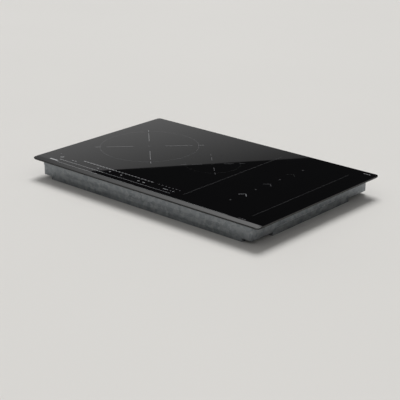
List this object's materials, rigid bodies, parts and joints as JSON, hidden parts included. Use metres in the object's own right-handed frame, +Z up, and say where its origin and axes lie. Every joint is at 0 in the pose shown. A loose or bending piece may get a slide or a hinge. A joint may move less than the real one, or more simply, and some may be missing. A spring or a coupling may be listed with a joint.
{
  "type": "induction hob",
  "caption": "Built-in glass-ceramic induction hob with round zones and a rectangular bridge zone, touch strip, coils, cooling fans, clamps and a steel casing.",
  "frame": {"origin": "middle of the underside of the casing, at the centre of the glass in plan", "axes": "+Z up out of the cooking surface, +X to the user's right, +Y to the back; the front edge of the glass is towards -Y"},
  "size_m": [0.8, 0.51, 0.0555],
  "materials": {
    "glass_ceramic": "polished black glass-ceramic with a pale grey printed pattern",
    "seal_foam": "closed-cell foam tape",
    "silicone": "cured silicone bead",
    "galvanised_steel": "galvanised sheet with faint spangle",
    "zinc_steel": "bright zinc plated steel",
    "moulded_black": "fine moulded texture, glass-filled",
    "moulded_grey": "moulded",
    "copper_litz": "enamelled stranded copper",
    "mica": "pressed mica sheet",
    "sensor_silicone": "moulded silicone cap",
    "aluminium_sheet": "mill finish",
    "circuit_board": "solder resist",
    "ribbon_grey": "flat PVC cable",
    "rubber_black": "moulded rubber"
  },
  "bodies": {
    "root": {"glass_top": "glass_ceramic", "sealing_gasket": "seal_foam", "glass_adhesive": "silicone", "support_frame": "galvanised_steel", "bottom_casing": "galvanised_steel", "clamp_screw_front_left": "zinc_steel", "casing_screw_front_left": "zinc_steel", "clamp_screw_front_right": "zinc_steel", "casing_screw_front_right": "zinc_steel", "clamp_screw_rear_left": "zinc_steel", "casing_screw_rear_left": "zinc_steel", "clamp_screw_rear_right": "zinc_steel", "casing_screw_rear_right": "zinc_steel", "large_coil_former": "moulded_black", "small_coil_former": "moulded_black", "bridge_coil_1_former": "moulded_black", "bridge_coil_2_former": "moulded_black", "bridge_coil_3_former": "moulded_black", "bridge_coil_4_former": "moulded_black", "large_coil_inner_winding": "copper_litz", "large_coil_outer_winding": "copper_litz", "small_coil_winding": "copper_litz", "bridge_coil_1_winding": "copper_litz", "bridge_coil_2_winding": "copper_litz", "bridge_coil_3_winding": "copper_litz", "bridge_coil_4_winding": "copper_litz", "large_coil_mica": "mica", "small_coil_mica": "mica", "bridge_mica_sheet": "mica", "large_coil_sensor": "sensor_silicone", "small_coil_sensor": "sensor_silicone", "bridge_coil_1_sensor": "sensor_silicone", "bridge_coil_2_sensor": "sensor_silicone", "bridge_coil_3_sensor": "sensor_silicone", "bridge_coil_4_sensor": "sensor_silicone", "left_coil_plate": "aluminium_sheet", "right_coil_plate": "aluminium_sheet", "left_heatsink": "aluminium_sheet", "right_heatsink": "aluminium_sheet", "left_fan_housing": "moulded_black", "right_fan_housing": "moulded_black", "left_board_tray": "moulded_black", "right_board_tray": "moulded_black", "touch_carrier": "moulded_black", "terminal_block": "moulded_grey", "left_power_board": "circuit_board", "right_power_board": "circuit_board", "filter_board": "circuit_board", "touch_board": "circuit_board", "touch_ribbon_cable": "ribbon_grey", "terminal_cover_pin": "zinc_steel", "cable_grommet": "rubber_black"},
    "left_impeller": {"left_fan_impeller": "moulded_grey"},
    "right_impeller": {"right_fan_impeller": "moulded_grey"},
    "cover": {"terminal_cover": "moulded_black"},
    "clamp_front_left": {"worktop_clamp_front_left": "zinc_steel"},
    "clamp_front_right": {"worktop_clamp_front_right": "zinc_steel"},
    "clamp_rear_left": {"worktop_clamp_rear_left": "zinc_steel"},
    "clamp_rear_right": {"worktop_clamp_rear_right": "zinc_steel"}
  },
  "joints": [
    {"name": "left_fan_spin", "type": "hinge", "parent": "root", "child": "left_impeller", "pos_m": [-0.226, -0.148, 0.0152], "axis": [0, 0, 1], "continuous": true},
    {"name": "right_fan_spin", "type": "hinge", "parent": "root", "child": "right_impeller", "pos_m": [0.2245, -0.148, 0.0152], "axis": [0, 0, 1], "continuous": true},
    {"name": "clamp_front_left_swing", "type": "hinge", "parent": "root", "child": "clamp_front_left", "pos_m": [-0.3558, -0.2058, 0.0055], "axis": [0, 0, 1], "range_deg": [0, 90]},
    {"name": "clamp_front_right_swing", "type": "hinge", "parent": "root", "child": "clamp_front_right", "pos_m": [0.3558, -0.2058, 0.0055], "axis": [0, 0, 1], "range_deg": [-90, 0]},
    {"name": "clamp_rear_left_swing", "type": "hinge", "parent": "root", "child": "clamp_rear_left", "pos_m": [-0.3558, 0.2058, 0.0055], "axis": [0, 0, 1], "range_deg": [-90, 0]},
    {"name": "clamp_rear_right_swing", "type": "hinge", "parent": "root", "child": "clamp_rear_right", "pos_m": [0.3558, 0.2058, 0.0055], "axis": [0, 0, 1], "range_deg": [0, 90]},
    {"name": "terminal_cover_swing", "type": "hinge", "parent": "root", "child": "cover", "pos_m": [-0.0542, 0.2426, 0.021], "axis": [0, 0, 1], "range_deg": [0, 110]}
  ]
}
